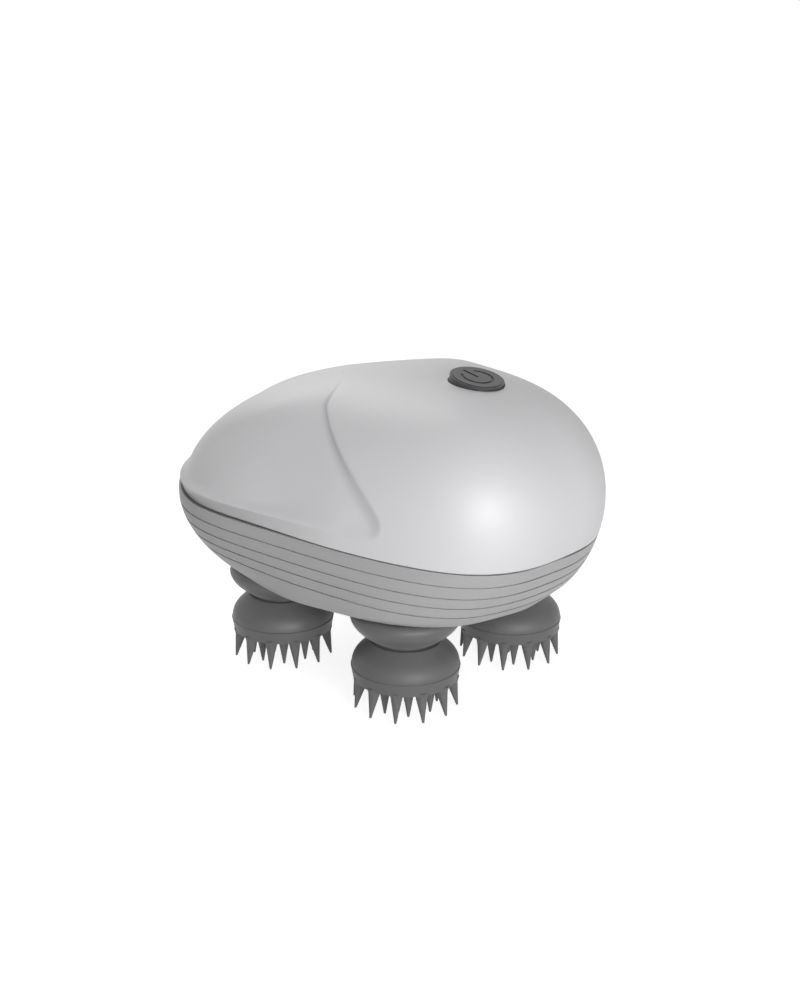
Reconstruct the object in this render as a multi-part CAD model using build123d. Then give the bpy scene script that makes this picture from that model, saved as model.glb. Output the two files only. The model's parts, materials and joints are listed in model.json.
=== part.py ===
from build123d import *
import math
import os

os.makedirs("parts", exist_ok=True)

# Electric scalp massager: a palm-sized housing that stands on four turning heads.
# X runs along the housing with the tail and the button at +X, Y across it, Z up.
# The origin is below the middle of the housing, on the surface that the tips touch.

# housing outlines, as reaches from the drive axis at these bearings from the tail
bearings = (0, 14, 27, 40, 55, 72, 90, 107, 122, 136, 149, 164, 180)
belt_reach = (60.7, 61.2, 59.1, 54.0, 48.9, 46.2, 46.9, 52.2, 59.0, 61.9, 62.8, 63.9, 64.4)
rim_reach = (50.1, 50.0, 50.5, 48.8, 45.4, 42.2, 42.1, 42.8, 45.0, 47.1, 48.6, 49.5, 49.6)
drive_x = (belt_reach[-1] - belt_reach[0]) / 2

# housing form
belt_z = 52.65
belt_slope = 0.042
rim_z = 29.5
belly_start = 1.93
belly_end = 1.155
crest_x = drive_x + 22.5
crest_z = 87.2
dome_end = 2.2
dome_rise = 2.09
dome_side = 2.67
wall = 2.4
rim_edge = 0.9
floor_thickness = 2.4

# seam between the shells and the ribs below it
seam_z = 49.65
seam_slope = -0.078
seam_gap = 0.3
lip_width = 1.1
lip_height = 1.5
lip_clearance = 0.12
gasket_clearance = 0.03
groove_levels = (45.75, 42.1, 38.85, 35.55)
groove_width = 0.5
groove_depth = 0.5

# grip recesses on both flanks
grip_depth = 2.0
grip_rise = 0.3
grip_overrun = 0.4
grip_ledge_z = 54.1
grip_ledge_rise = 0.02
grip_front = ((-9, 85.2), (3, 82.6), (6.9, 79.4), (10.3, 76.8), (16.5, 71.8), (21.6, 67.3), (27.4, 61.6),
              (29.8, 58.4), (30.5, 56.2))
grip_foot_x = 29.3
grip_crown_run = 9.0

# heads
head_x = 24.5
gear_module = 0.9
drive_teeth = 56
head_teeth = 18
gear_backlash = 0.32
gear_z = 38.5
gear_thickness = 4.0
centre_distance = gear_module * (drive_teeth + head_teeth) / 2
head_y = math.sqrt(centre_distance ** 2 - head_x ** 2)

# radius and height of the cup's band, of the flare above it, and of the flange
cup_bottom_z = 8.55
cup_band = ((14.3, cup_bottom_z), (14.9, 11.9), (14.65, 12.1))
cup_flare = ((14.65, 12.1), (14.5, 13.7), (14.0, 14.9), (13.2, 16.0), (12.1, 17.1), (10.9, 18.2), (9.8, 19.2))
neck_radius = 8.4
flange_bottom_z = 20.0
flange_foot_radius = 9.6
flange_curve = ((12.3, 22.0), (13.9, 23.6), (14.8, 25.2), (15.0, 26.4), (14.3, 27.7))
flange_top_radius = 12.8
flange_top_z = 28.2
stem_radius = 4.5
stem_depth = 8.5
socket_clearance = 0.05

# pointed nodes
tip_radius = 0.3
node_waist_radius = 1.6
node_waist_drop = 1.0
node_radius = 2.2
node_root_depth = 0.6
outer_nodes = 12
outer_phase = 2.0
outer_root_reach = 12.5
outer_tip_reach = 14.3
outer_tip_z = 0.74
inner_nodes = 8
inner_phase = 3.0
inner_reach = 8.66

# shafts and bearings
shaft_radius = 2.0
shaft_bottom_z = 14.0
shaft_top_z = 46.9
running_clearance = 0.05
press_clearance = 0.02
bush_radius = 4.0
bush_boss_wall = 2.4
bush_top_z = 35.2
seal_radius = 5.0
seal_height = 2.0
upper_bush_radius = 3.2
upper_bush_flange_radius = 4.2
upper_bush_flange_thickness = 0.6
end_play = 0.25
clip_radius = 3.6
clip_thickness = 0.6

# drive
output_radius = 2.5
pin_boss_radius = 5.0
pin_boss_top_z = 36.0
drive_hub_radius = 7.0

# chassis
chassis_z = 43.3
chassis_thickness = 2.0
chassis_length = 86.0
chassis_width = 66.0
chassis_corner = 20.0
chassis_post_x = 38.5
chassis_post_y = 16.0
chassis_post_radius = 2.8
chassis_screw_radius = 1.0
chassis_screw_length = 8.0
chassis_screw_head_radius = 2.0
chassis_screw_head_height = 1.3

# shell screws
tail_post_x = 40.5
nose_post_x = 44.0
side_post_y = 33.0
shell_post_radius = 3.4
shell_screw_radius = 1.25
shell_screw_head_radius = 2.5
shell_screw_head_height = 1.8
shell_screw_slot_radius = 0.9
shell_screw_slot_depth = 1.0
shell_screw_seat_z = 40.0
shell_screw_length = 12.0
screw_clearance = 0.05
head_clearance = 0.2

# motor
gearbox_radius = 14.0
gearbox_height = 9.0
gearbox_spigot_radius = 6.0
motor_radius = 12.0
motor_height = 24.0
motor_cap_radius = 11.0
motor_cap_height = 2.4
motor_bearing_radius = 3.0
motor_tab_y = 7.0
motor_tab_width = 3.0
motor_tab_thickness = 0.6
motor_tab_height = 0.9
motor_screw_reach = 10.0
motor_screw_radius = 1.2
motor_screw_head_radius = 2.1
motor_screw_head_height = 1.1
motor_screw_head_sink = 0.1
motor_screw_bite = 3.6
motor_screw_hole_depth = 4.0
output_socket_depth = 5.0
output_shaft_bite = 4.8

# battery
cell_radius = 7.0
cell_length = 50.0
cell_pole_radius = 2.6
cell_pole_length = 1.3
battery_x = -27.5
cradle_floor = 2.2
cradle_length = 34.0
cradle_wall = 1.0
cradle_height = 7.5

# boards
board_x = 25.0
board_width = 19.0
board_length = 44.0
board_thickness = 1.6
board_stand_height = 3.0
board_post_radius = 2.0
board_post_dx = 7.0
board_post_y = 14.0
board_screw_radius = 0.8
board_screw_head_radius = 1.7
board_screw_head_height = 1.1
board_screw_length = 3.8
board_screw_floor = 0.4
chip_offset = 1.0
chip_size = 7.0
chip_height = 1.6
capacitor_offset = 4.0
capacitor_radius = 3.0
capacitor_height = 8.0
capacitor_y = 16.5

# charging socket and its plug
socket_z = 42.0
socket_radius = 3.9
socket_length = 11.0
socket_bore_radius = 1.8
socket_bore_depth = 9.0
socket_boss_radius = 5.6
socket_boss_length = 9.0
plug_radius = 4.7
plug_thickness = 1.3
plug_stem_radius = 1.7
plug_stem_length = 3.2
plug_clearance = 0.3

# power button, measured along its own axis from the crest
button_x = 28.65
button_tilt = 12.0
button_radius = 7.3
button_rim_width = 0.6
button_proud = 1.2
button_rim_proud = 1.0
button_gap = 0.3
button_flange_radius = 9.2
button_flange_top = -3.9
button_flange_thickness = 1.2
button_chamber_wall = 1.5
button_chamber_bottom = -6.9
button_stem_radius = 2.0
button_stem_bottom = -6.3
mark_depth = 0.25
mark_radius = 4.1
mark_line = 0.8
mark_gap = 70.0
mark_bar_length = 5.2
mark_bar_x = -2.4
plunger_radius = 1.7
plunger_bottom = -9.3
tact_size = 6.2
tact_top = -7.4
tact_floor = 0.2
switch_board_top = -10.5
switch_board_thickness = 1.2
switch_board_length = 31.0
switch_board_width = 12.0
switch_post_y = 12.9
switch_post_radius = 2.3
switch_screw_radius = 0.8
switch_screw_head_radius = 1.5
switch_screw_head_height = 1.0
switch_screw_length = 4.0
switch_screw_tip_gap = 0.4

# gear teeth, as shares of the module, and the pressure angle
tooth_addendum = 0.85
tooth_dedendum = 1.2
tooth_angle = 20.0

underside_z = rim_z - rim_edge
floor_top_z = underside_z + floor_thickness
chassis_top_z = chassis_z + chassis_thickness

# how far a cutting or crossing body runs on past the surface it has to pass
over = 1.0
post_overlap = 8.0
far = 150.0


def rotated(x, y, angle):
    a = math.radians(angle)
    return x * math.cos(a) - y * math.sin(a), x * math.sin(a) + y * math.cos(a)


def ring(reaches, inset):
    """The points of a closed outline round the drive axis, tail first."""
    half = []
    for reach, bearing in zip(reaches, bearings):
        x, y = rotated(reach - inset, 0, bearing)
        half.append((drive_x + x, y))
    return half + [(x, -y) for x, y in half[-2:0:-1]]


def closed_wire(points):
    return Wire([Edge.make_spline([Vector(*p) for p in points], periodic=True)])


def belly_blend(share):
    return 1 - (1 - share ** belly_start) ** (1 / belly_end)


def hull_wire(share, inset):
    """A level of the lower housing: share 0 is the belt, 1 is the rim."""
    blend = belly_blend(share)
    base = belt_z + (rim_z - belt_z) * share
    slope = belt_slope * (1 - share)
    points = []
    for (bx, by), (rx, ry) in zip(ring(belt_reach, inset), ring(rim_reach, inset)):
        x = bx + (rx - bx) * blend
        y = by + (ry - by) * blend
        points.append((x, y, base + slope * (x - drive_x)))
    return closed_wire(points)


def dome_wire(angle, inset, side_scale=1.0, stretch=0.0, rise=0.0):
    """A level of the dome: angle 0 is the belt, 90 the crest."""
    a = math.radians(angle)
    along = math.cos(a) ** (2 / dome_end)
    across = math.cos(a) ** (2 / dome_side) * side_scale
    up = math.sin(a) ** (2 / dome_rise)
    points = []
    for bx, by in ring(belt_reach, inset - stretch):
        base = belt_z + belt_slope * (bx - drive_x)
        x = crest_x + (bx - crest_x) * along
        z = base + (crest_z + rise - inset - base) * up
        points.append((x, by * across, z))
    return closed_wire(points)


hull_shares = (1.0, 0.88, 0.74, 0.58, 0.4, 0.2)
dome_angles = (0, 12, 24, 36, 47, 57, 66, 74, 80.5, 85.5)


def body_form(inset, side_scale=1.0):
    wires = [hull_wire(share, inset) for share in hull_shares]
    wires += [dome_wire(angle, inset, side_scale) for angle in dome_angles]
    return Solid.make_loft(wires)


def crest_height(x):
    """The crest's height on the middle plane."""
    end_x = drive_x + belt_reach[0] if x > crest_x else drive_x - belt_reach[-1]
    share = abs((x - crest_x) / (end_x - crest_x))
    angle = math.acos(share ** (dome_end / 2))
    base = belt_z + belt_slope * (end_x - drive_x)
    return base + (crest_z - base) * math.sin(angle) ** (2 / dome_rise)


def nose_face_x(z):
    """Where the nose's outer face lies on the middle plane."""
    base = belt_z - belt_slope * belt_reach[-1]
    blend = belly_blend((base - z) / (base - rim_z))
    return drive_x - belt_reach[-1] + (belt_reach[-1] - rim_reach[-1]) * blend


def above(level, slope):
    """All space above a plane that slopes along X and has this height at the drive."""
    tilt = -math.degrees(math.atan(slope))
    block = Box(2 * far, 2 * far, far, align=(Align.CENTER, Align.CENTER, Align.MIN))
    return Pos(drive_x, 0, level) * Rot(0, tilt, 0) * block


def slab(level, slope, thickness):
    tilt = -math.degrees(math.atan(slope))
    block = Box(2 * far, 2 * far, thickness)
    return Pos(drive_x, 0, level) * Rot(0, tilt, 0) * block


def rod(x, y, bottom, top, radius):
    """An upright cylinder, placed from the drive axis."""
    body = Cylinder(radius, top - bottom, align=(Align.CENTER, Align.CENTER, Align.MIN))
    return Pos(drive_x + x, y, bottom) * body


def plate(x, y, bottom, top, length, width):
    body = Box(length, width, top - bottom, align=(Align.CENTER, Align.CENTER, Align.MIN))
    return Pos(drive_x + x, y, bottom) * body


def along_x(start, end, radius, z):
    body = Cylinder(radius, end - start, align=(Align.CENTER, Align.CENTER, Align.MIN))
    return Pos(start, 0, z) * Rot(0, 90, 0) * body


def turned(edges):
    return revolve(make_face(edges), Axis.Z)


def save(shape, node):
    export_step(shape, f"parts/{node}.step")


head_places = {
    "tail_right": (head_x, -head_y),
    "tail_left": (head_x, head_y),
    "nose_right": (-head_x, -head_y),
    "nose_left": (-head_x, head_y),
}
shell_post_places = ((tail_post_x, 0), (-nose_post_x, 0), (0, side_post_y), (0, -side_post_y))
chassis_post_places = [(sx * chassis_post_x, sy * chassis_post_y) for sx in (1, -1) for sy in (1, -1)]
board_post_places = [(board_x - board_post_dx, board_post_y), (board_x - board_post_dx, -board_post_y)]

# ---- housing forms ----
# the top shell is hollowed narrower, so that a full wall is left behind the grip recesses
grip_scale = 1 - grip_depth / belt_reach[6]
outer = body_form(0)
cavity = body_form(wall)
top_cavity = body_form(wall, grip_scale)
lip_zone = slab(seam_z + lip_height / 2, seam_slope, lip_height + seam_gap)
rim_skirt = Solid.make_loft([
    closed_wire([(x, y, underside_z) for x, y in ring(rim_reach, rim_edge)]),
    closed_wire([(x, y, rim_z) for x, y in ring(rim_reach, 0)]),
], ruled=True)

# ---- lower shell ----
floor_cut = Pos(drive_x, 0, floor_top_z) * Box(
    2 * far, 2 * far, far, align=(Align.CENTER, Align.CENTER, Align.MIN))
hollow = cavity & floor_cut
below_gap = above(seam_z - seam_gap / 2, seam_slope)
lower = (outer + rim_skirt) - hollow - below_gap
groove_core = body_form(groove_depth)
for level in groove_levels:
    lower -= slab(level, seam_slope, groove_width) - groove_core

inner_posts = []
for x, y in shell_post_places:
    inner_posts.append(rod(x, y, underside_z, seam_z + post_overlap, shell_post_radius))
for x, y in chassis_post_places:
    inner_posts.append(rod(x, y, underside_z, chassis_z, chassis_post_radius))
for x, y in head_places.values():
    inner_posts.append(rod(x, y, underside_z, bush_top_z, bush_radius + bush_boss_wall))
inner_posts.append(rod(0, 0, underside_z, pin_boss_top_z, pin_boss_radius))
for post in inner_posts:
    lower += (post & outer) - below_gap

lip = (body_form(wall - lip_width) - cavity) & lip_zone
lower += lip

for x, y in shell_post_places:
    lower -= rod(x, y, underside_z - over, shell_screw_seat_z, shell_screw_head_radius + head_clearance)
    lower -= rod(x, y, underside_z - over, seam_z + post_overlap, shell_screw_radius + screw_clearance)
for x, y in chassis_post_places:
    lower -= rod(x, y, chassis_z - chassis_screw_length, chassis_z + over, chassis_screw_radius + screw_clearance)
for x, y in head_places.values():
    lower -= rod(x, y, underside_z - over, bush_top_z + over, bush_radius + press_clearance)
    lower -= rod(x, y, underside_z - over, underside_z + seal_height, seal_radius + press_clearance)
lower -= rod(0, 0, floor_top_z, pin_boss_top_z + over, output_radius + running_clearance)

nose_x = nose_face_x(socket_z)
pocket_floor_x = nose_x + plug_thickness + plug_clearance
socket_boss = along_x(nose_x - post_overlap, nose_x + socket_boss_length, socket_boss_radius, socket_z) & outer
lower += socket_boss - below_gap
lower -= along_x(nose_x - post_overlap, pocket_floor_x, plug_radius + plug_clearance, socket_z)
lower -= along_x(nose_x, nose_x + socket_boss_length + over, socket_radius + press_clearance, socket_z)
save(lower, "lower_shell")

# ---- top shell ----
grip_form = Solid.make_loft([dome_wire(a, 0, grip_scale, grip_overrun, grip_rise) for a in dome_angles])
front_points = [(drive_x + x, z) for x, z in grip_front]
foot = (drive_x + grip_foot_x, grip_ledge_z)
ledge_end = (foot[0] - far, grip_ledge_z + grip_ledge_rise * far)
grip_line = [ledge_end, (ledge_end[0], crest_z + far), (front_points[0][0] - grip_crown_run, crest_z + far)]
grip_line += front_points + [foot]
grip_prism = extrude(make_face(Polyline(*[(x, 0, z) for x, z in grip_line], close=True)), far, both=True)
grip_cut = grip_prism - grip_form

skin = (outer & above(seam_z + seam_gap / 2, seam_slope)) - grip_cut
button_z = crest_height(drive_x + button_x)
button_place = Plane(
    origin=(drive_x + button_x, 0, button_z),
    x_dir=(math.cos(math.radians(button_tilt)), 0, -math.sin(math.radians(button_tilt))),
    z_dir=(math.sin(math.radians(button_tilt)), 0, math.cos(math.radians(button_tilt))),
).location


def button_rod(bottom, top_level, radius, x=0, y=0):
    body = Cylinder(radius, top_level - bottom, align=(Align.CENTER, Align.CENTER, Align.MIN))
    return button_place * (Pos(x, y, bottom) * body)


def button_block(bottom, top_level, length, width):
    body = Box(length, width, top_level - bottom, align=(Align.CENTER, Align.CENTER, Align.MIN))
    return button_place * (Pos(0, 0, bottom) * body)


chamber_radius = button_flange_radius + button_gap
chamber_top = button_flange_top + button_gap
rebate_form = body_form(wall - lip_width - lip_clearance)
rebate_zone = slab(seam_z + lip_height / 2, seam_slope, lip_height + seam_gap + 2 * lip_clearance)
top = skin - top_cavity - (rebate_form & rebate_zone)
for x, y in shell_post_places:
    top += rod(x, y, seam_z - post_overlap, crest_z, shell_post_radius) & skin
pad = button_rod(button_chamber_bottom, button_proud, chamber_radius + button_chamber_wall)
switch_posts = [button_rod(switch_board_top, button_proud, switch_post_radius, y=s * switch_post_y) for s in (1, -1)]
top += pad & skin
for post in switch_posts:
    top += post & skin
shell_screw_tip_z = shell_screw_seat_z + shell_screw_length
for x, y in shell_post_places:
    top -= rod(x, y, seam_z - post_overlap, shell_screw_tip_z + over, shell_screw_radius + screw_clearance)
top -= button_rod(switch_board_top, button_proud + post_overlap, button_radius + button_gap)
top -= button_rod(switch_board_top, chamber_top, chamber_radius)
screw_hole_top = switch_board_top + switch_screw_length + switch_screw_tip_gap
for s in (1, -1):
    top -= button_rod(switch_board_top - over, screw_hole_top, switch_screw_radius + screw_clearance,
                      y=s * switch_post_y)
save(top, "top_shell")

# ---- seam gasket ----
gasket_slab = slab(seam_z, seam_slope, seam_gap - 2 * gasket_clearance)
gasket = gasket_slab & (groove_core - rebate_form)
save(gasket, "seam_gasket")

# ---- shell screws ----
shell_screws = []
for x, y in shell_post_places:
    head_z = shell_screw_seat_z - shell_screw_head_height
    screw = rod(x, y, head_z, shell_screw_seat_z, shell_screw_head_radius)
    screw += rod(x, y, shell_screw_seat_z, shell_screw_tip_z, shell_screw_radius)
    screw -= rod(x, y, head_z - over, head_z + shell_screw_slot_depth, shell_screw_slot_radius)
    shell_screws.append(screw)
save(Compound(children=shell_screws), "shell_screws")

# ---- chassis ----
chassis_outline = RectangleRounded(chassis_length, chassis_width, chassis_corner)
chassis = Pos(drive_x, 0, chassis_z) * extrude(chassis_outline, chassis_thickness)
for x, y in shell_post_places:
    chassis -= rod(x, y, chassis_z - over, chassis_top_z + over, shell_post_radius + head_clearance)
for x, y in chassis_post_places:
    chassis -= rod(x, y, chassis_z - over, chassis_top_z + over, chassis_screw_radius + screw_clearance)
for x, y in head_places.values():
    chassis -= rod(x, y, chassis_z - over, chassis_top_z + over, upper_bush_radius + press_clearance)
chassis -= rod(0, 0, chassis_z - over, chassis_top_z + over, gearbox_spigot_radius + press_clearance)
motor_screw_seat_z = chassis_z + motor_screw_head_height + motor_screw_head_sink
for s in (1, -1):
    screw_x = s * motor_screw_reach
    chassis -= rod(screw_x, 0, chassis_z - over, chassis_top_z + over, motor_screw_radius + screw_clearance)
    chassis -= rod(screw_x, 0, chassis_z - over, motor_screw_seat_z, motor_screw_head_radius + head_clearance)
for x, y in board_post_places:
    chassis += rod(x, y, chassis_z, chassis_top_z + board_stand_height, board_post_radius)
    chassis -= rod(x, y, chassis_top_z + board_screw_floor, chassis_top_z + board_stand_height + over,
                   board_screw_radius + screw_clearance)
save(chassis, "chassis_plate")

chassis_screws = []
for x, y in chassis_post_places:
    screw = rod(x, y, chassis_top_z, chassis_top_z + chassis_screw_head_height, chassis_screw_head_radius)
    screw += rod(x, y, chassis_top_z - chassis_screw_length, chassis_top_z, chassis_screw_radius)
    chassis_screws.append(screw)
save(Compound(children=chassis_screws), "chassis_screws")

# ---- motor ----
gearbox_top_z = chassis_top_z + gearbox_height
gearbox = rod(0, 0, chassis_top_z, gearbox_top_z, gearbox_radius)
gearbox += rod(0, 0, chassis_z, chassis_top_z, gearbox_spigot_radius)
gearbox -= rod(0, 0, chassis_z - over, chassis_top_z + output_socket_depth, output_radius + running_clearance)
for s in (1, -1):
    gearbox -= rod(s * motor_screw_reach, 0, chassis_top_z - over, chassis_top_z + motor_screw_hole_depth,
                   motor_screw_radius + screw_clearance)
save(gearbox, "motor_gearbox")

motor_top_z = gearbox_top_z + motor_height
motor = rod(0, 0, gearbox_top_z, motor_top_z, motor_radius)
save(motor, "motor_can")
motor_cap = rod(0, 0, motor_top_z, motor_top_z + motor_cap_height, motor_cap_radius)
motor_tab_top_z = motor_top_z + motor_cap_height + motor_tab_height
motor_cap += rod(0, 0, motor_top_z, motor_tab_top_z, motor_bearing_radius)
for s in (1, -1):
    motor_cap += plate(0, s * motor_tab_y, motor_top_z, motor_tab_top_z, motor_tab_width, motor_tab_thickness)
save(motor_cap, "motor_cap")

motor_screws = []
for s in (1, -1):
    screw_x = s * motor_screw_reach
    screw = rod(screw_x, 0, motor_screw_seat_z - motor_screw_head_height, motor_screw_seat_z, motor_screw_head_radius)
    screw += rod(screw_x, 0, motor_screw_seat_z, chassis_top_z + motor_screw_bite, motor_screw_radius)
    motor_screws.append(screw)
save(Compound(children=motor_screws), "motor_screws")

# ---- battery ----
cell_z = chassis_top_z + cradle_floor + cell_radius
cell = Pos(drive_x + battery_x, 0, cell_z) * Rot(90, 0, 0) * Cylinder(cell_radius, cell_length)
pole_place = Pos(drive_x + battery_x, -cell_length / 2, cell_z) * Rot(90, 0, 0)
cell += pole_place * Cylinder(cell_pole_radius, cell_pole_length, align=(Align.CENTER, Align.CENTER, Align.MIN))
save(cell, "battery_cell")
cradle_width = 2 * (cell_radius + cradle_wall)
cradle = plate(battery_x, 0, chassis_top_z, chassis_top_z + cradle_height, cradle_width, cradle_length)
cradle -= Pos(drive_x + battery_x, 0, cell_z) * Rot(90, 0, 0) * Cylinder(cell_radius + press_clearance, cell_length)
save(cradle, "battery_cradle")

# ---- main board ----
board_bottom_z = chassis_top_z + board_stand_height
board_top_z = board_bottom_z + board_thickness
board = plate(board_x, 0, board_bottom_z, board_top_z, board_width, board_length)
for x, y in board_post_places:
    board -= rod(x, y, board_bottom_z - over, board_top_z + over, board_screw_radius + screw_clearance)
save(board, "main_board")
board_screws = []
for x, y in board_post_places:
    screw = rod(x, y, board_top_z, board_top_z + board_screw_head_height, board_screw_head_radius)
    screw += rod(x, y, board_top_z - board_screw_length, board_top_z, board_screw_radius)
    board_screws.append(screw)
save(Compound(children=board_screws), "board_screws")
chip = plate(board_x + chip_offset, 0, board_top_z, board_top_z + chip_height, chip_size, chip_size)
save(chip, "control_chip")
capacitors = []
for s in (1, -1):
    x, y = board_x + capacitor_offset, s * capacitor_y
    capacitors.append(rod(x, y, board_top_z, board_top_z + capacitor_height, capacitor_radius))
save(Compound(children=capacitors), "board_capacitors")

# ---- charging socket and plug ----
socket = along_x(pocket_floor_x, pocket_floor_x + socket_length, socket_radius, socket_z)
socket -= along_x(pocket_floor_x - over, pocket_floor_x + socket_bore_depth, socket_bore_radius, socket_z)
save(socket, "charge_socket")
plug_inner_x = nose_x + plug_thickness
plug = along_x(nose_x - post_overlap, plug_inner_x, plug_radius, socket_z) & outer
plug += along_x(plug_inner_x, plug_inner_x + plug_stem_length, plug_stem_radius, socket_z)
save(plug, "charge_plug")

# ---- power button ----
cap_radius = button_radius - button_rim_width - press_clearance
flange_bottom = button_flange_top - button_flange_thickness
cap = button_rod(flange_bottom, button_proud, cap_radius)
cap += button_rod(flange_bottom, button_flange_top, button_flange_radius)
cap += button_rod(button_stem_bottom, flange_bottom, button_stem_radius)
mark_plane = Pos(0, 0, button_proud - mark_depth)
mark_ring = Circle(mark_radius + mark_line / 2) - Circle(mark_radius - mark_line / 2)
half_gap = math.radians(mark_gap / 2)
notch = Polygon(
    (0, 0),
    (-2 * mark_radius, 2 * mark_radius * math.tan(half_gap)),
    (-2 * mark_radius, -2 * mark_radius * math.tan(half_gap)), align=None)
mark_bar = Pos(mark_bar_x, 0) * Rectangle(mark_bar_length, mark_line)
mark = extrude((mark_ring - notch) + mark_bar, mark_depth + over)
cap -= button_place * (mark_plane * mark)
save(cap, "button_cap")
button_rim = button_rod(button_flange_top, button_rim_proud, button_radius)
button_rim -= button_rod(button_flange_top - over, button_rim_proud + over, button_radius - button_rim_width)
save(button_rim, "button_rim")
save(button_rod(plunger_bottom, button_stem_bottom, plunger_radius), "switch_plunger")

tact = button_block(switch_board_top, tact_top, tact_size, tact_size)
tact -= button_rod(switch_board_top + tact_floor, tact_top + over, plunger_radius + running_clearance)
save(tact, "tact_switch")
board_low = switch_board_top - switch_board_thickness
switch_board = button_block(board_low, switch_board_top, switch_board_width, switch_board_length)
for s in (1, -1):
    switch_board -= button_rod(board_low - over, switch_board_top + over, switch_screw_radius + screw_clearance,
                               y=s * switch_post_y)
save(switch_board, "switch_board")
switch_screws = []
for s in (1, -1):
    screw = button_rod(board_low - switch_screw_head_height, board_low, switch_screw_head_radius, y=s * switch_post_y)
    screw += button_rod(board_low, switch_board_top + switch_screw_length, switch_screw_radius, y=s * switch_post_y)
    switch_screws.append(screw)
save(Compound(children=switch_screws), "switch_screws")


# ---- gears ----
def gear(teeth, bottom, top_level, phase):
    """A spur gear about Z with a tooth centred at the phase angle."""
    pitch = gear_module * teeth / 2
    tip = pitch + tooth_addendum * gear_module
    root = pitch - tooth_dedendum * gear_module
    half_pitch = math.pi * gear_module / 4 - gear_backlash / 2
    lean = math.tan(math.radians(tooth_angle))
    tip_half = (half_pitch - (tip - pitch) * lean) / tip
    root_half = (half_pitch + (pitch - root) * lean) / root
    points = []
    for k in range(teeth):
        centre = math.radians(phase) + 2 * math.pi * k / teeth
        for radius, offset in ((root, -root_half), (tip, -tip_half), (tip, tip_half), (root, root_half)):
            points.append((radius * math.cos(centre + offset), radius * math.sin(centre + offset)))
    body = extrude(Polygon(*points, align=None), top_level - bottom)
    return Pos(0, 0, bottom) * body


gear_top_z = gear_z + gear_thickness
drive_gear = Pos(drive_x, 0, 0) * gear(drive_teeth, gear_z, gear_top_z, 0)
drive_gear += rod(0, 0, pin_boss_top_z + end_play, gear_z, drive_hub_radius)
drive_gear -= rod(0, 0, pin_boss_top_z, gear_top_z + over, output_radius + press_clearance)
save(drive_gear, "drive_gear")
output = rod(0, 0, floor_top_z + end_play, chassis_top_z + output_shaft_bite, output_radius)
save(output, "output_shaft")


def head_gear_phase(x, y):
    """Turns a head's gear so that its gaps take the drive gear's teeth."""
    line = math.degrees(math.atan2(y, x))
    step = 360 / drive_teeth
    ahead = round(line / step) * step - line
    return line + 180 - ahead * drive_teeth / head_teeth + 180 / head_teeth


# ---- head pieces, about their own axis ----
def upright(points):
    """Profile points, given as radius and height, in the XZ plane."""
    return [(radius, 0, height) for radius, height in points]


cup_lower = Polyline(*upright(((0, cup_bottom_z),) + cup_band))
cup_side = Spline(*upright(cup_flare))
socket_wall = stem_radius + socket_clearance
socket_bottom = flange_bottom_z - stem_depth - socket_clearance
cup_upper = Polyline(*upright((
    cup_flare[-1],
    (neck_radius, cup_flare[-1][1]),
    (neck_radius, flange_bottom_z),
    (socket_wall, flange_bottom_z),
    (socket_wall, socket_bottom),
    (0, socket_bottom),
    (0, cup_bottom_z),
)))
cup = turned(cup_lower.edges() + cup_side.edges() + cup_upper.edges())


def massage_node(root_reach, tip_reach, tip_z, angle):
    share = node_waist_drop / (cup_bottom_z - tip_z)
    waist_reach = root_reach + (tip_reach - root_reach) * share
    root = Pos(root_reach, 0, cup_bottom_z + node_root_depth) * Circle(node_radius)
    waist = Pos(waist_reach, 0, cup_bottom_z - node_waist_drop) * Circle(node_waist_radius)
    tip = Pos(tip_reach, 0, tip_z) * Circle(tip_radius)
    return Rot(0, 0, angle) * loft([tip, waist, root], ruled=True)


for k in range(outer_nodes):
    cup += massage_node(outer_root_reach, outer_tip_reach, outer_tip_z, outer_phase + k * 360 / outer_nodes)
for k in range(inner_nodes):
    cup += massage_node(inner_reach, inner_reach, 0, inner_phase + k * 360 / inner_nodes)
cup += massage_node(0, 0, 0, 0)

flange_foot = (flange_foot_radius, flange_bottom_z)
flange_end = (flange_top_radius, flange_top_z)
flange_side = Spline(*upright((flange_foot,) + flange_curve + (flange_end,)))
flange_rest = Polyline(*upright((flange_end, (0, flange_top_z), (0, flange_bottom_z), flange_foot)))
flange_body = turned(flange_side.edges() + flange_rest.edges())
stem = Pos(0, 0, flange_bottom_z - stem_depth) * Cylinder(
    stem_radius, stem_depth, align=(Align.CENTER, Align.CENTER, Align.MIN))
hub = flange_body + stem
shaft_hole = Cylinder(shaft_radius + press_clearance, far, align=(Align.CENTER, Align.CENTER, Align.MIN))
hub -= Pos(0, 0, shaft_bottom_z) * shaft_hole

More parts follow.
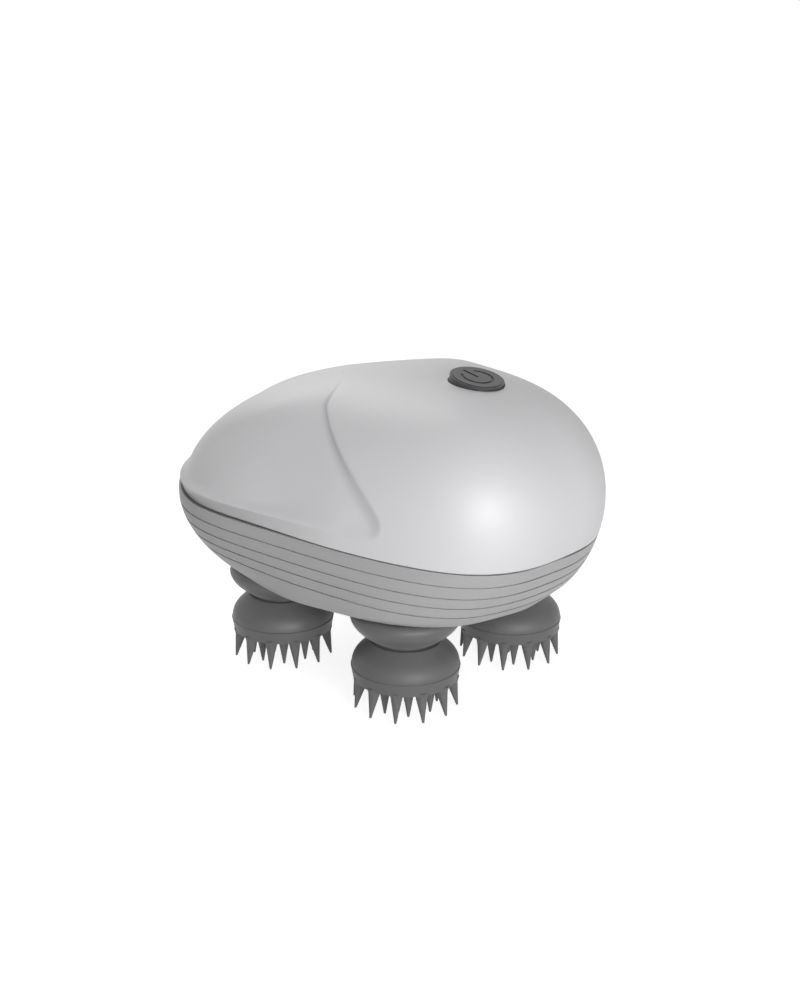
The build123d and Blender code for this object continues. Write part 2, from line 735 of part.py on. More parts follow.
for side, (x, y) in head_places.items():
    place = Pos(drive_x + x, y, 0)
    save(place * cup, f"cup_{side}")
    save(place * hub, f"hub_{side}")
    save(rod(x, y, shaft_bottom_z, shaft_top_z, shaft_radius), f"shaft_{side}")
    pinion = gear(head_teeth, gear_z, gear_top_z, head_gear_phase(x, y))
    pinion += Pos(0, 0, bush_top_z + end_play) * Cylinder(
        bush_radius, gear_z - bush_top_z - end_play, align=(Align.CENTER, Align.CENTER, Align.MIN))
    pinion -= shaft_hole
    save(place * pinion, f"gear_{side}")
    clip = rod(x, y, chassis_top_z + end_play, chassis_top_z + end_play + clip_thickness, clip_radius)
    clip -= rod(x, y, chassis_top_z, shaft_top_z, shaft_radius + press_clearance)
    save(clip, f"clip_{side}")
    seal = rod(x, y, underside_z, underside_z + seal_height, seal_radius)
    seal -= rod(x, y, underside_z - over, underside_z + seal_height + over, shaft_radius + running_clearance)
    save(seal, f"shaft_seal_{side}")
    bush = rod(x, y, underside_z + seal_height, bush_top_z, bush_radius)
    bush -= rod(x, y, underside_z, bush_top_z + over, shaft_radius + running_clearance)
    save(bush, f"lower_bush_{side}")
    upper = rod(x, y, chassis_z, chassis_top_z, upper_bush_radius)
    upper += rod(x, y, chassis_z - upper_bush_flange_thickness, chassis_z, upper_bush_flange_radius)
    upper -= rod(x, y, chassis_z - over, chassis_top_z + over, shaft_radius + running_clearance)
    save(upper, f"upper_bush_{side}")
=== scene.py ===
import bpy
import json
import math
import numpy as np
from mathutils import Matrix, Vector


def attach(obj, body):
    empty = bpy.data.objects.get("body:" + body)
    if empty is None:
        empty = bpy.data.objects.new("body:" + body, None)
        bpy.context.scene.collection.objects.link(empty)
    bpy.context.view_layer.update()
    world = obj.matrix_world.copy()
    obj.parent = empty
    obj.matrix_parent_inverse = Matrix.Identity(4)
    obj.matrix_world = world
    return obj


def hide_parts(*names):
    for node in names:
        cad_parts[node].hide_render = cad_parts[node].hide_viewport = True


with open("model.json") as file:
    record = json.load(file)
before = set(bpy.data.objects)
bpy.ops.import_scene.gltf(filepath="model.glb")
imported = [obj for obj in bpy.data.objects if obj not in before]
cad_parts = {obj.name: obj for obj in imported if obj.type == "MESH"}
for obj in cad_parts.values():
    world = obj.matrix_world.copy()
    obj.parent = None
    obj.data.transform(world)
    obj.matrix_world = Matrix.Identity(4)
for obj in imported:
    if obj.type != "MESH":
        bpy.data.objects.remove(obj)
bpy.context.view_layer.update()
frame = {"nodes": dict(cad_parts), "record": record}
mm = 0.001
mergeReach = 0.002 * mm   # points closer than this are one
nodes = frame["nodes"]
record = frame["record"]
print("frame loaded:", len(nodes), "nodes")


def deselectAll():
    if bpy.context.object and bpy.context.object.mode != "OBJECT":
        bpy.ops.object.mode_set(mode="OBJECT")
    bpy.ops.object.select_all(action="DESELECT")


def makeActive(piece):
    deselectAll()
    piece.select_set(True)
    bpy.context.view_layer.objects.active = piece


def closeUp(piece):
    makeActive(piece)
    bpy.ops.object.mode_set(mode="EDIT")
    bpy.ops.mesh.select_all(action="SELECT")
    bpy.ops.mesh.remove_doubles(threshold=mergeReach)
    bpy.ops.mesh.normals_make_consistent(inside=False)
    bpy.ops.object.mode_set(mode="OBJECT")


def smoothShade(piece, degrees=35):
    makeActive(piece)
    bpy.ops.object.shade_smooth_by_angle(angle=math.radians(degrees))


def cutWith(piece, cutter):
    makeActive(piece)
    cut = piece.modifiers.new("cut", "BOOLEAN")
    cut.operation = "DIFFERENCE"
    cut.object = cutter
    cut.solver = "EXACT"
    bpy.ops.object.modifier_apply(modifier=cut.name)
    bpy.data.objects.remove(cutter)


def dress(piece, material):
    piece.data.materials.clear()
    piece.data.materials.append(material)


# the housing's form in millimetres: reaches from the drive axis at bearings from the tail
housing = {
    "bearings": (0, 14, 27, 40, 55, 72, 90, 107, 122, 136, 149, 164, 180),
    "beltReach": (60.7, 61.2, 59.1, 54.0, 48.9, 46.2, 46.9, 52.2, 59.0, 61.9, 62.8, 63.9, 64.4),
    "driveX": 1.85,
    "beltHeight": 52.65,
    "beltSlope": 0.042,
    "rimReach": (50.1, 50.0, 50.5, 48.8, 45.4, 42.2, 42.1, 42.8, 45.0, 47.1, 48.6, 49.5, 49.6),
    "rimHeight": 29.5,
    "bellyStart": 1.93,
    "bellyEnd": 1.155,
    "crestX": 22.5,
    "crestHeight": 87.2,
    "domeEnd": 2.2,
    "domeRise": 2.09,
    "domeSide": 2.67,
    "wall": 3.2,
    "seamHeight": 49.65,
    "seamSlope": -0.078,
    "seamGap": 0.3,
    "seamRound": 0.15,
    "columns": 600,
    "domeRows": 130,
    "innerRows": 12,
}


# a smooth closed ring through the reaches, by a periodic cubic spline
def outline(reaches, inset):
    half = []
    for reach, bearing in zip(reaches, housing["bearings"]):
        angle = math.radians(bearing)
        half.append(((reach - inset) * math.cos(angle), (reach - inset) * math.sin(angle)))
    points = np.array(half + [(x, -y) for x, y in half[-2:0:-1]])
    count = len(points)
    spans = np.linalg.norm(np.roll(points, -1, 0) - points, axis=1)
    system = np.zeros((count, count))
    sides = np.zeros((count, 2))
    for i in range(count):
        after = (i + 1) % count
        system[i, i - 1] += spans[i - 1]
        system[i, i] += 2 * (spans[i - 1] + spans[i])
        system[i, after] += spans[i]
        sides[i] = 6 * ((points[after] - points[i]) / spans[i] - (points[i] - points[i - 1]) / spans[i - 1])
    bend = np.linalg.solve(system, sides)
    starts = np.concatenate([[0], np.cumsum(spans)])
    ring = []
    for k in range(housing["columns"]):
        along = starts[-1] * k / housing["columns"]
        i = min(int(np.searchsorted(starts, along, side="right")) - 1, count - 1)
        after = (i + 1) % count
        right = (along - starts[i]) / spans[i]
        left = 1 - right
        ring.append(left * points[i] + right * points[after]
                    + ((left ** 3 - left) * bend[i] + (right ** 3 - right) * bend[after]) * spans[i] ** 2 / 6)
    ring = np.array(ring)
    ring[:, 0] += housing["driveX"]
    return ring


# each column of the body from the rim to the crest: levels 0 to 1 are the hull, 1 to 2 the dome
def bodyProfile(inset, hullSteps=200, domeSteps=300):
    belt = outline(housing["beltReach"], inset)
    rim = outline(housing["rimReach"], inset)
    beyond = belt[:, 0] - housing["driveX"]
    levels, rows = [], []
    for k in range(hullSteps):
        share = 1 - k / hullSteps
        blend = 1 - (1 - share ** housing["bellyStart"]) ** (1 / housing["bellyEnd"])
        flat = belt + (rim - belt) * blend
        base = housing["beltHeight"] + (housing["rimHeight"] - housing["beltHeight"]) * share
        height = base + housing["beltSlope"] * (1 - share) * (flat[:, 0] - housing["driveX"])
        levels.append(1 - share)
        rows.append(np.column_stack([flat, height]))
    crestX = housing["driveX"] + housing["crestX"]
    base = housing["beltHeight"] + housing["beltSlope"] * beyond
    for k in range(domeSteps):
        angle = math.radians(90 * k / (domeSteps - 1))
        along = max(math.cos(angle), 0) ** (2 / housing["domeEnd"])
        across = max(math.cos(angle), 0) ** (2 / housing["domeSide"])
        up = math.sin(angle) ** (2 / housing["domeRise"])
        height = base + (housing["crestHeight"] - inset - base) * up
        levels.append(1 + angle / (math.pi / 2))
        rows.append(np.column_stack([crestX + (belt[:, 0] - crestX) * along, belt[:, 1] * across, height]))
    return np.array(levels), np.array(rows)


# one point of each column, at the level wanted there
def pickRow(profile, wanted):
    levels, rows = profile
    place = np.clip(np.searchsorted(levels, wanted), 1, len(levels) - 1)
    before = levels[place - 1]
    share = np.clip((wanted - before) / (levels[place] - before), 0, 1)[:, None]
    column = np.arange(rows.shape[1])
    return rows[place - 1, column] * (1 - share) + rows[place, column] * share


# the level of each column where it crosses a plane that slopes along X
def levelsAtHeight(profile, height, slope):
    levels, rows = profile
    above = rows[..., 2] - slope * (rows[..., 0] - housing["driveX"])
    return np.array([np.interp(height, above[:, i], levels) for i in range(rows.shape[1])])


# a grid wrapped round the housing, whose first and last rows close to a point
def wrapRows(name, rows):
    rows = np.array(rows) * mm
    rowCount, columns = rows.shape[:2]
    deselectAll()
    bpy.ops.mesh.primitive_grid_add(x_subdivisions=columns, y_subdivisions=rowCount - 1, size=2)
    piece = bpy.context.object
    piece.name = name
    wrapped = np.concatenate([rows, rows[:, :1]], axis=1).reshape(-1, 3)
    piece.data.vertices.foreach_set("co", wrapped.astype(np.float32).ravel())
    piece.data.update()
    closeUp(piece)
    return piece


# the grip recess of each flank: its front edge, and the ledge along its foot
grip = {
    "edge": ((-16.0, 4.0, 86.0), (-5.4, 13.4, 85.4), (2.1, 23.3, 84.6), (5.1, 29.3, 82.8), (6.2, 31.2, 81.4),
             (9.2, 33.6, 79.5), (12.9, 35.8, 76.8), (19.2, 38.3, 71.9), (24.2, 39.2, 67.5), (29.8, 39.3, 61.8),
             (32.2, 39.0, 58.5), (32.7, 39.0, 55.9), (31.8, 39.4, 53.4), (29.9, 40.0, 52.2), (26.6, 41.1, 51.8)),
    "ledge": ((38.0, 36.0, 51.0), (31.0, 39.6, 51.4), (26.6, 41.1, 51.7), (22.5, 42.4, 52.4), (17.8, 43.5, 53.4),
              (2.6, 46.7, 53.9), (-11.1, 49.5, 54.4), (-23.7, 51.5, 54.9), (-36.0, 49.0, 55.6),
              (-47.0, 38.0, 55.9), (-56.0, 22.0, 55.8), (-61.0, 8.0, 55.5), (-62.5, 0.0, 55.4)),
    "lineSteps": 8,
    "faceLean": 0.35,    # how far the flank leans back, which tells the sides of a line apart
    "depth": 2.2,
    "footDepth": 1.5,
    "footWidth": 12.0,
    "flareWidth": 1.2,   # the recess rises this far to its ledge
    "tipWidth": 4.0,     # and more gently round its tip
    "flareCurve": 1.5,
    "tipStartX": -5.0,
    "tipRun": 24.0,
    "edgeRound": 0.5,
    "wallTop": 2.6,      # width of the step where it starts near the crest
    "wallFoot": 4.8,     # and where it runs out above the ledge
    "wallTopHeight": 82.0,
    "wallFootHeight": 60.0,
    "wallCurve": 2.2,
    "lipWidth": 2.3,
    "lipDepth": 1.1,
    "lipEndX": 22.0,
    "lipRun": 40.0,
    "crownStart": 3.0,   # the crest between the two recesses keeps its full height
    "crownFade": 13.0,
    "crownHeight": 76.0,   # below this they meet round the nose, at a share of their depth
    "crownDrop": 18.0,
    "noseShare": 0.65,
    "bandHeight": 54.05,   # painted shade: the band under the ledge gets a darker colour for the shade of its undercut, which fades toward the tip
    "bandSlope": -0.0475,
    "bandFade": 0.5,
    "bandStartX": 20.0,
    "bandFullX": -12.0,
}


# a fine line through the points, curved as a Catmull-Rom spline
def smoothLine(points, steps):
    points = np.array(points, float)
    padded = np.vstack([2 * points[0] - points[1], points, 2 * points[-1] - points[-2]])
    line = []
    for before, start, end, after in zip(padded, padded[1:], padded[2:], padded[3:]):
        for t in np.arange(steps) / steps:
            line.append(0.5 * (2 * start + (end - before) * t + (2 * before - 5 * start + 4 * end - after) * t ** 2
                               + (3 * start - before - 3 * end + after) * t ** 3))
    line.append(points[-1])
    return np.array(line)


# moves each point of a line square on to the surface that the rows make
def layOn(line, rows):
    flat = rows.reshape(-1, 3)
    across = np.roll(rows, -1, 1) - np.roll(rows, 1, 1)
    normals = np.cross(across, np.gradient(rows, axis=0)).reshape(-1, 3)
    laid = []
    for point in line:
        k = np.argmin(((flat - point) ** 2).sum(1))
        normal = normals[k] / np.linalg.norm(normals[k])
        laid.append(point - ((point - flat[k]) @ normal) * normal)
    return np.array(laid)


# distance of each point to a line, with its side: positive toward the recess
def nearest(points, line):
    best = np.full(len(points), 1e9)
    side = np.ones(len(points))
    outward = np.array([0.0, 1.0, grip["faceLean"]])
    for start, end in zip(line[:-1], line[1:]):
        run = end - start
        share = np.clip(((points - start) @ run) / (run @ run), 0, 1)[:, None]
        away = points - (start + share * run)
        distance = np.linalg.norm(away, axis=1)
        closer = distance < best
        best[closer] = distance[closer]
        inward = np.cross(outward, run)
        side[closer] = np.sign((away @ inward)[closer])
    return best, side


def ease(value):
    value = np.clip(value, 0, 1)
    return value * value * (3 - 2 * value)


# sinks the recess of each flank, and the undercut below its ledge, into the dome's outer rows
def pressGrips(rows):
    flat = rows.reshape(-1, 3).copy()
    mirrored = flat.copy()
    mirrored[:, 1] = np.abs(mirrored[:, 1])
    toEdge, edgeSide = nearest(mirrored, layOn(smoothLine(grip["edge"], grip["lineSteps"]), rows))
    toLedge, ledgeSide = nearest(mirrored, layOn(smoothLine(grip["ledge"], grip["lineSteps"]), rows))
    above = ledgeSide > 0
    inside = edgeSide > 0
    fall = (grip["wallTopHeight"] - mirrored[:, 2]) / (grip["wallTopHeight"] - grip["wallFootHeight"])
    wallWidth = grip["wallTop"] + (grip["wallFoot"] - grip["wallTop"]) * ease(fall)
    intoWall = np.hypot(toEdge, grip["edgeRound"]) - grip["edgeRound"]
    wallShare = 1 - (1 - np.clip(intoWall / wallWidth, 0, 1)) ** grip["wallCurve"]
    rise = 1 - np.exp(-toLedge / grip["footWidth"])
    scoop = grip["footDepth"] + (grip["depth"] - grip["footDepth"]) * rise
    crown = ease((mirrored[:, 1] - grip["crownStart"]) / grip["crownFade"])
    nose = grip["noseShare"] * ease((grip["crownHeight"] - mirrored[:, 2]) / grip["crownDrop"])
    tip = ease((mirrored[:, 0] - grip["tipStartX"]) / grip["tipRun"])
    flareWidth = grip["flareWidth"] + (grip["tipWidth"] - grip["flareWidth"]) * tip
    flare = 1 - np.exp(-(toLedge / flareWidth) ** grip["flareCurve"])
    depth = scoop * flare * wallShare * np.maximum(crown, nose)
    depth[~(inside & above)] = 0
    below = (~above) & (mirrored[:, 0] < grip["lipEndX"])
    towardTip = ease((grip["lipEndX"] - mirrored[:, 0]) / grip["lipRun"])
    lip = grip["lipDepth"] * np.clip(toLedge / grip["lipWidth"], 0, 1) * towardTip
    depth[below] = lip[below]
    reach = np.hypot(flat[:, 0] - housing["driveX"], flat[:, 1])
    reach[reach < 1] = 1
    flat[:, 0] -= (flat[:, 0] - housing["driveX"]) / reach * depth
    flat[:, 1] -= flat[:, 1] / reach * depth
    return flat.reshape(rows.shape)


def makeDome():
    outer = bodyProfile(0)
    inner = bodyProfile(housing["wall"])
    seam = housing["seamHeight"] + housing["seamGap"] / 2
    start = levelsAtHeight(outer, seam, housing["seamSlope"])
    innerStart = levelsAtHeight(inner, seam, housing["seamSlope"])
    shares = np.linspace(1, 0, housing["domeRows"])
    rows = np.array([pickRow(outer, start + (2 - start) * share) for share in shares])
    rows = pressGrips(rows)
    rounded = rows[-1].copy()
    rounded[:, 2] += housing["seamRound"]
    inward = pickRow(inner, innerStart) - rows[-1]
    turned = rows[-1] + inward / np.linalg.norm(inward, axis=1)[:, None] * housing["seamRound"]
    rows = list(rows[:-1]) + [rounded, turned]
    for share in np.linspace(0, 1, housing["innerRows"]):
        rows.append(pickRow(inner, innerStart + (2 - innerStart) * share))
    dome = wrapRows("upper_housing", rows)
    print("dome wrapped:", len(rows), "rows")
    return dome


# the power button's seat, on the crest near the tail
button = {
    "x": 30.5,
    "height": 86.92,
    "tilt": 12.0,
    "holeRadius": 7.6,
    "holeDepth": 14.0,
    "holeRise": 8.0,
    "faceHeight": 1.2,
    "markDepth": 0.25,
    "markReach": 4.7,
    "markFade": (0.2, 0.8),     # shares of the mark's depth over which the painted shade on its floor deepens
    "markMargin": (0.2, 0.4),   # and how far past its reach that ends
}


def buttonMatrix():
    turn = Matrix.Rotation(math.radians(button["tilt"]), 4, "Y")
    return Matrix.Translation(Vector((button["x"], 0, button["height"])) * mm) @ turn


def cutButtonHole(dome):
    deselectAll()
    depth = (button["holeDepth"] + button["holeRise"]) * mm
    bpy.ops.mesh.primitive_cylinder_add(vertices=128, radius=button["holeRadius"] * mm, depth=depth)
    cutter = bpy.context.object
    middle = (button["holeRise"] - button["holeDepth"]) / 2 * mm
    cutter.matrix_world = buttonMatrix() @ Matrix.Translation((0, 0, middle))
    cutWith(dome, cutter)


def makeGroup(name, inputs, outputs):
    group = bpy.data.node_groups.new(name, "ShaderNodeTree")
    for label, value in inputs:
        socket = group.interface.new_socket(name=label, in_out="INPUT", socket_type="NodeSocketFloat")
        socket.default_value = value
    for label in outputs:
        group.interface.new_socket(name=label, in_out="OUTPUT", socket_type="NodeSocketFloat")
    return group, group.nodes.new("NodeGroupInput"), group.nodes.new("NodeGroupOutput")


# fine grain and soft clouding of a moulded surface
def mouldedGroup():
    sizes = (("Grain Size", 900.0), ("Cloud Size", 25.0))
    group, given, made = makeGroup("mouldedSurface", sizes, ("Grain", "Cloud"))
    place = group.nodes.new("ShaderNodeTexCoord")
    for label, detail in (("Grain", 4.0), ("Cloud", 3.0)):
        noise = group.nodes.new("ShaderNodeTexNoise")
        noise.inputs["Detail"].default_value = detail
        group.links.new(place.outputs["Object"], noise.inputs["Vector"])
        group.links.new(given.outputs[label + " Size"], noise.inputs["Scale"])
        group.links.new(noise.outputs["Fac"], made.inputs[label])
    return group


# fine lines that run round the hull, as its ribbed bands have
def streakGroup():
    group, given, made = makeGroup("drawnStreaks", (("Line Size", 60.0), ("Stretch", 22.0)), ("Streak",))
    place = group.nodes.new("ShaderNodeTexCoord")
    split = group.nodes.new("ShaderNodeSeparateXYZ")
    tall = group.nodes.new("ShaderNodeMath")
    tall.operation = "MULTIPLY"
    join = group.nodes.new("ShaderNodeCombineXYZ")
    noise = group.nodes.new("ShaderNodeTexNoise")
    noise.inputs["Detail"].default_value = 3.0
    lean = group.nodes.new("ShaderNodeMath")
    lean.operation = "MULTIPLY_ADD"
    lean.inputs[1].default_value = -housing["seamSlope"]
    group.links.new(place.outputs["Object"], split.inputs["Vector"])
    group.links.new(split.outputs["X"], lean.inputs[0])
    group.links.new(split.outputs["Z"], lean.inputs[2])
    group.links.new(lean.outputs["Value"], tall.inputs[0])
    group.links.new(given.outputs["Stretch"], tall.inputs[1])
    group.links.new(split.outputs["X"], join.inputs["X"])
    group.links.new(split.outputs["Y"], join.inputs["Y"])
    group.links.new(tall.outputs["Value"], join.inputs["Z"])
    group.links.new(join.outputs["Vector"], noise.inputs["Vector"])
    group.links.new(given.outputs["Line Size"], noise.inputs["Scale"])
    group.links.new(noise.outputs["Fac"], made.inputs["Streak"])
    return group


def mixColours(tree, low, high, factor):
    mix = tree.nodes.new("ShaderNodeMix")
    mix.data_type = "RGBA"
    mix.inputs[6].default_value = (*low, 1)
    mix.inputs[7].default_value = (*high, 1)
    tree.links.new(factor, mix.inputs[0])
    return mix.outputs[2]


def spread(tree, value, fromLow, fromHigh, low, high):
    span = tree.nodes.new("ShaderNodeMapRange")
    span.inputs["From Min"].default_value = fromLow
    span.inputs["From Max"].default_value = fromHigh
    span.inputs["To Min"].default_value = low
    span.inputs["To Max"].default_value = high
    tree.links.new(value, span.inputs["Value"])
    return span.outputs["Result"]


cloudRange = (0.3, 0.7)   # the part of the clouding noise that the surface shows
coatRough = 0.2
sheenRough = 0.4

# one finish for each material slot: grain and cloud are sizes, depth is the grain's height in millimetres
finishes = {
    # shell_white's band colour is painted shade for the band under the ledge
    "shell_white": dict(colour=(0.78, 0.78, 0.795), rough=0.47, vary=0.010, roughVary=0.03, grain=2600, cloud=18,
                        depth=0.005, specular=0.9, band=(0.55, 0.55, 0.56)),
    "shell_grey": dict(colour=(0.475, 0.475, 0.48), rough=0.5, vary=0.03, roughVary=0.05, grain=1500, cloud=35,
                       depth=0.010, streak=0.6),
    "silicone_grey": dict(colour=(0.14, 0.14, 0.143), rough=0.52, vary=0.05, roughVary=0.06, grain=1300,
                          cloud=60, depth=0.012, sheen=0.15),
    "hub_grey": dict(colour=(0.14, 0.14, 0.143), rough=0.50, vary=0.05, roughVary=0.06, grain=1300, cloud=60,
                     depth=0.012, sheen=0.15),
    # button_grey's mark colour is painted shade on the floor of the power mark's groove
    "button_grey": dict(colour=(0.050, 0.050, 0.052), rough=0.5, vary=0.06, roughVary=0.05, grain=2200, cloud=90,
                        depth=0.008, sheen=0.1, mark=(0.022, 0.022, 0.023)),
    "silicone_seal": dict(colour=(0.13, 0.13, 0.132), rough=0.6, vary=0.05, roughVary=0.05, grain=1600, cloud=90,
                          depth=0.01),
    "inner_plastic": dict(colour=(0.12, 0.12, 0.13), rough=0.5, vary=0.06, roughVary=0.05, grain=1200, cloud=50,
                          depth=0.012),
    "gear_plastic": dict(colour=(0.80, 0.79, 0.74), rough=0.42, vary=0.03, roughVary=0.05, grain=1500, cloud=60,
                         depth=0.006),
    "battery_wrap": dict(colour=(0.09, 0.26, 0.48), rough=0.33, vary=0.04, roughVary=0.05, grain=900, cloud=40,
                         depth=0.004, coat=0.3),
    "board_green": dict(colour=(0.04, 0.22, 0.10), rough=0.38, vary=0.08, roughVary=0.05, grain=2400, cloud=70,
                        depth=0.004, coat=0.3),
    "steel": dict(colour=(0.58, 0.58, 0.60), rough=0.3, vary=0.04, roughVary=0.08, grain=3000, cloud=120,
                  depth=0.002, metal=1.0),
    "bronze": dict(colour=(0.62, 0.42, 0.24), rough=0.42, vary=0.08, roughVary=0.1, grain=3500, cloud=150,
                   depth=0.004, metal=1.0),
}

moulded = mouldedGroup()
streaks = streakGroup()


# lays the hull's fine lines over its clouding
def addStreaks(tree, cloud, amount):
    lines = tree.nodes.new("ShaderNodeGroup")
    lines.node_tree = streaks
    share = tree.nodes.new("ShaderNodeMath")
    share.operation = "MULTIPLY"
    share.inputs[1].default_value = 1 - amount
    total = tree.nodes.new("ShaderNodeMath")
    total.operation = "MULTIPLY_ADD"
    total.inputs[1].default_value = amount
    tree.links.new(cloud, share.inputs[0])
    tree.links.new(lines.outputs["Streak"], total.inputs[0])
    tree.links.new(share.outputs["Value"], total.inputs[2])
    return total.outputs["Value"], lines.outputs["Streak"]


# lays a tint over the colour where both masks are full
def tintWhere(tree, colour, tint, first, second):
    both = tree.nodes.new("ShaderNodeMath")
    both.operation = "MULTIPLY"
    tree.links.new(first, both.inputs[0])
    tree.links.new(second, both.inputs[1])
    mix = tree.nodes.new("ShaderNodeMix")
    mix.data_type = "RGBA"
    mix.inputs[7].default_value = (*tint, 1)
    tree.links.new(both.outputs["Value"], mix.inputs[0])
    tree.links.new(colour, mix.inputs[6])
    return mix.outputs[2]


# paints shade on the floor of the power mark's groove, which lies below the button's face, darkening its colour
# there
def addMarkShade(tree, colour, markColour):
    place = tree.nodes.new("ShaderNodeTexCoord")
    turn = tree.nodes.new("ShaderNodeMapping")
    turn.vector_type = "TEXTURE"
    turn.inputs["Location"].default_value = (button["x"] * mm, 0, button["height"] * mm)
    turn.inputs["Rotation"].default_value = (0, math.radians(button["tilt"]), 0)
    split = tree.nodes.new("ShaderNodeSeparateXYZ")
    tree.links.new(place.outputs["Object"], turn.inputs["Vector"])
    tree.links.new(turn.outputs["Vector"], split.inputs["Vector"])
    reach = tree.nodes.new("ShaderNodeVectorMath")
    reach.operation = "LENGTH"
    tree.links.new(turn.outputs["Vector"], reach.inputs[0])
    shallow, deep = [(button["faceHeight"] - button["markDepth"] * share) * mm for share in button["markFade"]]
    markFull, markEnd = [(button["markReach"] + margin) * mm for margin in button["markMargin"]]
    sunk = spread(tree, split.outputs["Z"], deep, shallow, 1, 0)
    near = spread(tree, reach.outputs["Value"], markFull, markEnd, 1, 0)
    return tintWhere(tree, colour, markColour, sunk, near)


# paints shade on the undercut band between the ledge and the seam, deepening its colour where its shadow falls
def addUndercutShade(tree, colour, bandColour):
    place = tree.nodes.new("ShaderNodeTexCoord")
    split = tree.nodes.new("ShaderNodeSeparateXYZ")
    level = tree.nodes.new("ShaderNodeMath")
    level.operation = "MULTIPLY_ADD"
    level.inputs[1].default_value = -grip["bandSlope"]
    tree.links.new(place.outputs["Object"], split.inputs["Vector"])
    tree.links.new(split.outputs["X"], level.inputs[0])
    tree.links.new(split.outputs["Z"], level.inputs[2])
    top = grip["bandHeight"] * mm
    under = spread(tree, level.outputs["Value"], top - grip["bandFade"] * mm, top, 1, 0)
    along = spread(tree, split.outputs["X"], grip["bandFullX"] * mm, grip["bandStartX"] * mm, 1, 0)
    return tintWhere(tree, colour, bandColour, under, along)


def makeFinish(name, values):
    material = bpy.data.materials.new(name + "_finish")
    material.use_nodes = True
    tree = material.node_tree
    shader = tree.nodes["Principled BSDF"]
    surface = tree.nodes.new("ShaderNodeGroup")
    surface.node_tree = moulded
    surface.inputs["Grain Size"].default_value = values["grain"]
    surface.inputs["Cloud Size"].default_value = values["cloud"]
    low = tuple(c * (1 - values["vary"]) for c in values["colour"])
    high = tuple(min(c * (1 + values["vary"]), 1) for c in values["colour"])
    cloud = surface.outputs["Cloud"]
    grain = surface.outputs["Grain"]
    if "streak" in values:
        cloud, grain = addStreaks(tree, cloud, values["streak"])
    colour = mixColours(tree, low, high, spread(tree, cloud, *cloudRange, 0, 1))
    # painted shade on the floor of the power mark's groove
    if "mark" in values:
        colour = addMarkShade(tree, colour, values["mark"])
    # painted shade on the undercut band under the ledge
    if "band" in values:
        colour = addUndercutShade(tree, colour, values["band"])
    tree.links.new(colour, shader.inputs["Base Color"])
    smoothest, roughest = values["rough"] - values["roughVary"], values["rough"] + values["roughVary"]
    tree.links.new(spread(tree, cloud, *cloudRange, smoothest, roughest), shader.inputs["Roughness"])
    bump = tree.nodes.new("ShaderNodeBump")
    bump.inputs["Distance"].default_value = values["depth"] * mm
    tree.links.new(grain, bump.inputs["Height"])
    tree.links.new(bump.outputs["Normal"], shader.inputs["Normal"])
    shader.inputs["Metallic"].default_value = values.get("metal", 0.0)
    shader.inputs["Specular IOR Level"].default_value = values.get("specular", 0.5)
    shader.inputs["Coat Weight"].default_value = values.get("coat", 0.0)
    shader.inputs["Coat Roughness"].default_value = coatRough
    shader.inputs["Sheen Weight"].default_value = values.get("sheen", 0.0)
    shader.inputs["Sheen Roughness"].default_value = sheenRough
    return material


finish = {name: makeFinish(name, values) for name, values in finishes.items()}
for part in record["subparts"]:
    dress(nodes[part["node"]], finish[part["material_slot"]])
print("materials made:", len(finish))

dome = makeDome()
cutButtonHole(dome)
closeUp(dome)
smoothShade(dome)
dress(dome, finish["shell_white"])
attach(dome, "housing")
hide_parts("top_shell")
print("dome made:", len(dome.data.polygons), "faces")


# bearings run from the right flank toward the tail, in degrees; sizes and distances are in metres
studio = {
    "floorSize": 6.0,
    "floorColour": (0.75, 0.75, 0.75),
    "floorGlow": 0.84,
    "floorNear": 0.35,   # past this reach the floor brightens into the backdrop
    "floorFar": 0.7,
    "ambient": 0.02,
    "lampTarget": 0.06,
    "lamps": {
        "front": dict(bearing=62, height=4, distance=0.8, size=0.5, power=5.2),
        "frontHigh": dict(bearing=35, height=30, distance=0.8, size=0.45, power=0.3),
        "tail": dict(bearing=80, height=8, distance=0.8, size=0.45, power=0.3),
        "nose": dict(bearing=-70, height=8, distance=0.8, size=0.45, power=0.35),
        "noseHigh": dict(bearing=-70, height=30, distance=0.8, size=0.45, power=0.3),
        "back": dict(bearing=240, height=30, distance=0.8, size=0.45, power=0.95),
        "backHigh": dict(bearing=250, height=60, distance=0.8, size=0.45, power=1.55),
    },
}


# camera, mirror and see-through rays get the shown shader, and all others the hidden one
def lightPathMix(tree, shown, hidden):
    path = tree.nodes.new("ShaderNodeLightPath")
    first = tree.nodes.new("ShaderNodeMath")
    first.operation = "MAXIMUM"
    second = tree.nodes.new("ShaderNodeMath")
    second.operation = "MAXIMUM"
    mix = tree.nodes.new("ShaderNodeMixShader")
    tree.links.new(path.outputs["Is Camera Ray"], first.inputs[0])
    tree.links.new(path.outputs["Is Glossy Ray"], first.inputs[1])
    tree.links.new(first.outputs["Value"], second.inputs[0])
    tree.links.new(path.outputs["Is Transmission Ray"], second.inputs[1])
    tree.links.new(second.outputs["Value"], mix.inputs[0])
    tree.links.new(hidden, mix.inputs[1])
    tree.links.new(shown, mix.inputs[2])
    return mix.outputs["Shader"]


def makeWorld():
    world = bpy.data.worlds.new("studioWorld")
    bpy.context.scene.world = world
    world.use_nodes = True
    tree = world.node_tree
    tree.nodes.clear()
    white = tree.nodes.new("ShaderNodeBackground")
    white.inputs["Color"].default_value = (1, 1, 1, 1)
    soft = tree.nodes.new("ShaderNodeBackground")
    soft.inputs["Color"].default_value = (1, 1, 1, 1)
    soft.inputs["Strength"].default_value = studio["ambient"]
    out = tree.nodes.new("ShaderNodeOutputWorld")
    shown = lightPathMix(tree, white.outputs["Background"], soft.outputs["Background"])
    tree.links.new(shown, out.inputs["Surface"])


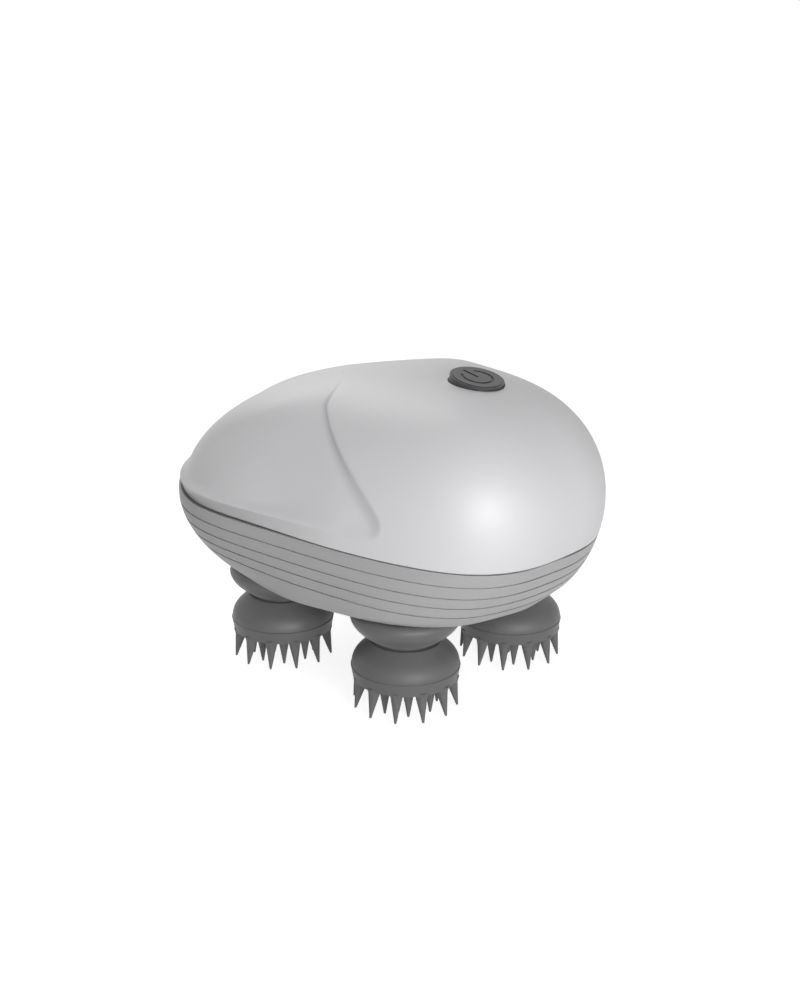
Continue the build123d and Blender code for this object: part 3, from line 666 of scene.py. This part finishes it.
def makeFloor():
    deselectAll()
    bpy.ops.mesh.primitive_plane_add(size=studio["floorSize"])
    floor = bpy.context.object
    floor.name = "floor"
    material = bpy.data.materials.new("paleFloor")
    material.use_nodes = True
    tree = material.node_tree
    tree.nodes.clear()
    matt = tree.nodes.new("ShaderNodeBsdfDiffuse")
    matt.inputs["Color"].default_value = (*studio["floorColour"], 1)
    plain = tree.nodes.new("ShaderNodeBsdfDiffuse")
    plain.inputs["Color"].default_value = (*studio["floorColour"], 1)
    glow = tree.nodes.new("ShaderNodeEmission")
    place = tree.nodes.new("ShaderNodeTexCoord")
    reach = tree.nodes.new("ShaderNodeVectorMath")
    reach.operation = "LENGTH"
    tree.links.new(place.outputs["Object"], reach.inputs[0])
    near, far = studio["floorNear"], studio["floorFar"]
    strength = spread(tree, reach.outputs["Value"], near, far, studio["floorGlow"], 1)
    tree.links.new(strength, glow.inputs["Strength"])
    both = tree.nodes.new("ShaderNodeAddShader")
    out = tree.nodes.new("ShaderNodeOutputMaterial")
    tree.links.new(matt.outputs["BSDF"], both.inputs[0])
    tree.links.new(glow.outputs["Emission"], both.inputs[1])
    tree.links.new(lightPathMix(tree, both.outputs["Shader"], plain.outputs["BSDF"]), out.inputs["Surface"])
    floor.data.materials.append(material)


def makeLamp(name, values):
    lamp = bpy.data.lights.new(name, "AREA")
    lamp.shape = "DISK"
    lamp.size = values["size"]
    lamp.energy = values["power"]
    holder = bpy.data.objects.new(name, lamp)
    bpy.context.scene.collection.objects.link(holder)
    bearing, height = math.radians(values["bearing"]), math.radians(values["height"])
    away = Vector((math.sin(bearing) * math.cos(height), -math.cos(bearing) * math.cos(height), math.sin(height)))
    holder.location = Vector((0, 0, studio["lampTarget"])) + away * values["distance"]
    holder.rotation_euler = away.to_track_quat("Z", "Y").to_euler()


viewpoint = {
    "place": (259.46, -276.32, 172.95),
    "azimuth": 42.85,
    "elevation": 18.4,
    "roll": -0.21,
    "lens": 50.14,
    "clipStart": 10.0,
}


def makeCamera():
    azimuth, elevation = math.radians(viewpoint["azimuth"]), math.radians(viewpoint["elevation"])
    back = Vector((math.sin(azimuth) * math.cos(elevation), -math.cos(azimuth) * math.cos(elevation),
                   math.sin(elevation)))
    right = Vector((math.cos(azimuth), math.sin(azimuth), 0))
    up = back.cross(right)
    roll = math.radians(viewpoint["roll"])
    turnedRight = right * math.cos(roll) - up * math.sin(roll)
    turnedUp = right * math.sin(roll) + up * math.cos(roll)
    camera = bpy.data.cameras.new("camera")
    camera.lens = viewpoint["lens"]
    camera.clip_start = viewpoint["clipStart"] * mm
    holder = bpy.data.objects.new("camera", camera)
    bpy.context.scene.collection.objects.link(holder)
    turn = Matrix((turnedRight, turnedUp, back)).transposed().to_4x4()
    holder.matrix_world = Matrix.Translation(Vector(viewpoint["place"]) * mm) @ turn
    bpy.context.scene.camera = holder


makeWorld()
makeFloor()
for lampName, lampValues in studio["lamps"].items():
    makeLamp(lampName, lampValues)
makeCamera()
bpy.context.scene.view_settings.view_transform = "Standard"
print("studio ready")
